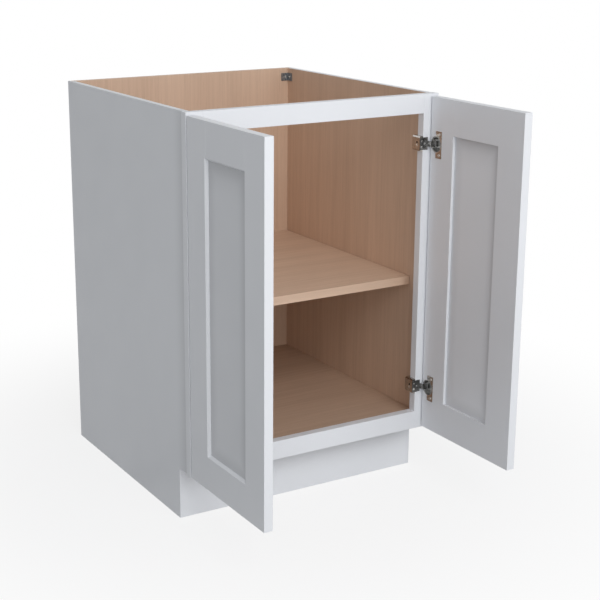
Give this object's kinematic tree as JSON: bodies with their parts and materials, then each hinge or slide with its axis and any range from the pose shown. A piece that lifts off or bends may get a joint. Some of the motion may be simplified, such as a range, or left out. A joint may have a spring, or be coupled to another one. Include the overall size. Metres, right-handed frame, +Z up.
{
  "type": "double door base cabinet",
  "caption": "White framed base cabinet with an open top, double side-hinged shaker doors, wood-lined inside, shelf and recessed toe kick.",
  "frame": {"origin": "on the floor, at the middle of the width, in the plane of the wall behind the cabinet", "axes": "+X to the right seen from the front, +Y towards the wall, +Z up; the front faces -Y"},
  "size_m": [0.6096, 0.9116, 0.8763],
  "materials": {
    "white_paint": "satin white paint",
    "painted_side": "satin white paint outside, clear lacquered wood inside",
    "maple_board": "clear lacquered veneer",
    "polished_nickel": "polished nickel",
    "satin_nickel": "satin nickel",
    "screw_steel": "plated steel",
    "bracket_grey": "dark grey steel"
  },
  "bodies": {
    "carcass": {"back_panel": "maple_board", "corner_bracket_screws": "screw_steel", "floor_panel": "maple_board", "frame_bottom_rail": "white_paint", "frame_left_stile": "white_paint", "frame_right_stile": "white_paint", "frame_top_rail": "white_paint", "hinge_arm_screws": "screw_steel", "hinge_base_screws": "screw_steel", "hinge_cams": "screw_steel", "left_corner_bracket": "bracket_grey", "left_lower_hinge_arm": "satin_nickel", "left_lower_hinge_base": "polished_nickel", "left_side_panel": "painted_side", "left_upper_hinge_arm": "satin_nickel", "left_upper_hinge_base": "polished_nickel", "right_corner_bracket": "bracket_grey", "right_lower_hinge_arm": "satin_nickel", "right_lower_hinge_base": "polished_nickel", "right_side_panel": "painted_side", "right_upper_hinge_arm": "satin_nickel", "right_upper_hinge_base": "polished_nickel", "shelf": "maple_board", "shelf_pins": "screw_steel", "toe_kick": "white_paint"},
    "left_door": {"left_cup_screws": "screw_steel", "left_door_bottom_rail": "white_paint", "left_door_hinge_stile": "white_paint", "left_door_lock_stile": "white_paint", "left_door_panel": "white_paint", "left_door_top_rail": "white_paint", "left_lower_hinge_cup": "polished_nickel", "left_lower_hinge_pin": "screw_steel", "left_upper_hinge_cup": "polished_nickel", "left_upper_hinge_pin": "screw_steel"},
    "right_door": {"right_cup_screws": "screw_steel", "right_door_bottom_rail": "white_paint", "right_door_hinge_stile": "white_paint", "right_door_lock_stile": "white_paint", "right_door_panel": "white_paint", "right_door_top_rail": "white_paint", "right_lower_hinge_cup": "polished_nickel", "right_lower_hinge_pin": "screw_steel", "right_upper_hinge_cup": "polished_nickel", "right_upper_hinge_pin": "screw_steel"}
  },
  "joints": [
    {"name": "left_door_swing", "type": "hinge", "parent": "carcass", "child": "left_door", "pos_m": [-0.2929, -0.6203, 0.49445], "axis": [0, 0, -1], "range_deg": [-90, 15]},
    {"name": "right_door_swing", "type": "hinge", "parent": "carcass", "child": "right_door", "pos_m": [0.2929, -0.6203, 0.49445], "axis": [0, 0, 1], "range_deg": [-90, 15]}
  ]
}
